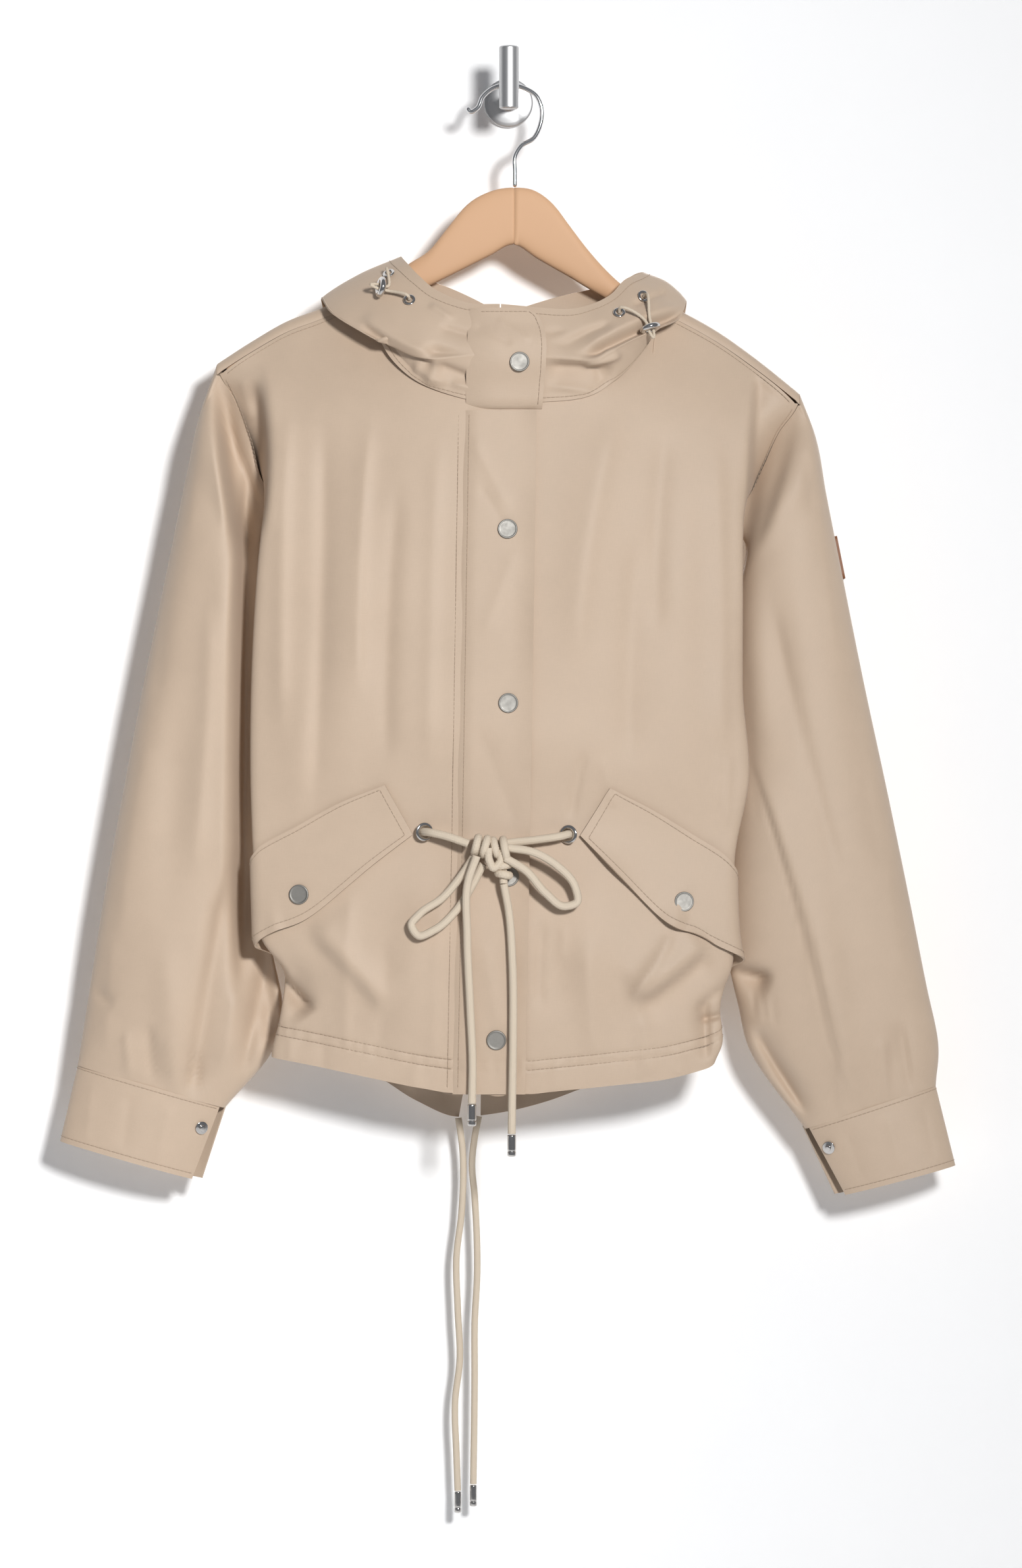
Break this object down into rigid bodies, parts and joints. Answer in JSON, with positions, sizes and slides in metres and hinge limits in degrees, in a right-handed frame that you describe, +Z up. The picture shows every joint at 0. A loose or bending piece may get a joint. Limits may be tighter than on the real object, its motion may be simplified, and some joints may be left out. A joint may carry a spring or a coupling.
{
  "type": "cropped hooded jacket on a wooden hanger and a wall hook",
  "caption": "Cropped hooded cotton jacket with snap placket, pocket flaps, waist bow and split tail, hung on a wooden hanger from a wall hook.",
  "frame": {"origin": "centre of the wall plate's back face, where it meets the wall", "axes": "+Y into the wall, +Z up, the jacket's front faces -Y, +X is the viewer's right"},
  "size_m": [0.685, 0.1435, 1.1227],
  "materials": {
    "cloth": "matt cotton weave",
    "cord": "braided cotton",
    "nickel": "satin nickel",
    "wood": "clear varnish",
    "chrome": "polished",
    "steel": "brushed",
    "leather": "plain tanned"
  },
  "bodies": {
    "root": {"back_left": "cloth", "back_right": "cloth", "collar_tab": "cloth", "cord_knot": "cord", "cord_lead_left": "cord", "cord_lead_right": "cord", "cord_lock_left": "nickel", "cord_lock_right": "nickel", "cord_loop_left": "cord", "cord_loop_right": "cord", "cord_stopper": "cord", "cord_tail_left": "cord", "cord_tail_right": "cord", "cord_tip_left": "nickel", "cord_tip_right": "nickel", "cuff_left": "cloth", "cuff_right": "cloth", "cuff_stud_left": "nickel", "cuff_stud_right": "nickel", "eyelet_hood_left_lower": "nickel", "eyelet_hood_left_upper": "nickel", "eyelet_hood_right_lower": "nickel", "eyelet_hood_right_upper": "nickel", "eyelet_waist_left": "nickel", "eyelet_waist_right": "nickel", "flap_left": "cloth", "flap_right": "cloth", "front_left": "cloth", "front_right": "cloth", "hanger": "wood", "hanger_hook": "chrome", "hem_cord_left": "cord", "hem_cord_right": "cord", "hem_tip_left": "nickel", "hem_tip_right": "nickel", "hood": "cloth", "hood_elastic_left": "cord", "hood_elastic_right": "cord", "placket": "cloth", "sleeve_left": "cloth", "sleeve_patch": "leather", "sleeve_right": "cloth", "snap_chest": "nickel", "snap_flap_left": "nickel", "snap_flap_right": "nickel", "snap_hem": "nickel", "snap_middle": "nickel", "snap_neck": "nickel", "snap_waist": "nickel", "wall_bar": "steel", "wall_plate": "steel"}
  },
  "joints": []
}
